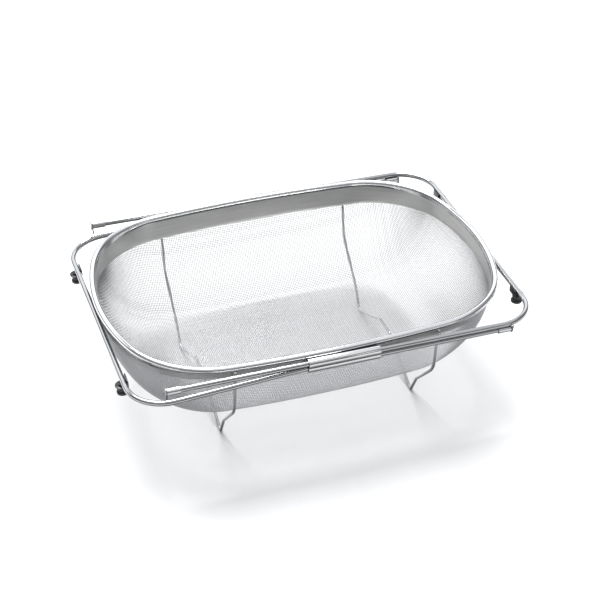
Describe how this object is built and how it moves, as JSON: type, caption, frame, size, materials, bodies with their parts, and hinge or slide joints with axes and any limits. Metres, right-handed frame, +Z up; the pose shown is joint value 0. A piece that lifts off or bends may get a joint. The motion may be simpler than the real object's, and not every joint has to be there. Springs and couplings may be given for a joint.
{
  "type": "extendable colander",
  "caption": "Oblong wire mesh basket in a rolled steel rim, with sliding U-shaped wire arms on rubber feet that span a sink and bent wire legs to stand on a table.",
  "frame": {"origin": "middle of the overall footprint, on the table that the leg wires stand on", "axes": "+X along the long side to the right, +Y from front to rear, +Z up"},
  "size_m": [0.351, 0.2588, 0.1073],
  "materials": {
    "rim_steel": "satin stainless sheet, brushed along the rim, with a brighter rolled bead",
    "mesh_steel": "fine plain-woven stainless wire mesh, light grey",
    "wire_steel": "polished round wire",
    "guide_steel": "polished folded sheet",
    "foot_rubber": "matt black moulded rubber"
  },
  "bodies": {
    "basket": {"rim_band": "rim_steel", "mesh_basket": "mesh_steel", "leg_wire_left": "wire_steel", "leg_wire_right": "wire_steel", "guide_front": "guide_steel", "guide_rear": "guide_steel"},
    "left_arm": {"arm_left": "wire_steel", "rod_cap_left_front": "guide_steel", "rod_cap_left_rear": "guide_steel", "foot_tab_left_front": "guide_steel", "foot_tab_left_rear": "guide_steel", "rubber_foot_left_front": "foot_rubber", "rubber_foot_left_rear": "foot_rubber"},
    "right_arm": {"arm_right": "wire_steel", "rod_cap_right_front": "guide_steel", "rod_cap_right_rear": "guide_steel", "foot_tab_right_front": "guide_steel", "foot_tab_right_rear": "guide_steel", "rubber_foot_right_front": "foot_rubber", "rubber_foot_right_rear": "foot_rubber"}
  },
  "joints": [
    {"name": "left_arm_slide", "type": "slide", "parent": "basket", "child": "left_arm", "axis": [-0.9999, 0, 0.012], "range_m": [0, 0.102]},
    {"name": "right_arm_slide", "type": "slide", "parent": "basket", "child": "right_arm", "axis": [0.9999, 0, -0.012], "range_m": [0, 0.102]}
  ]
}
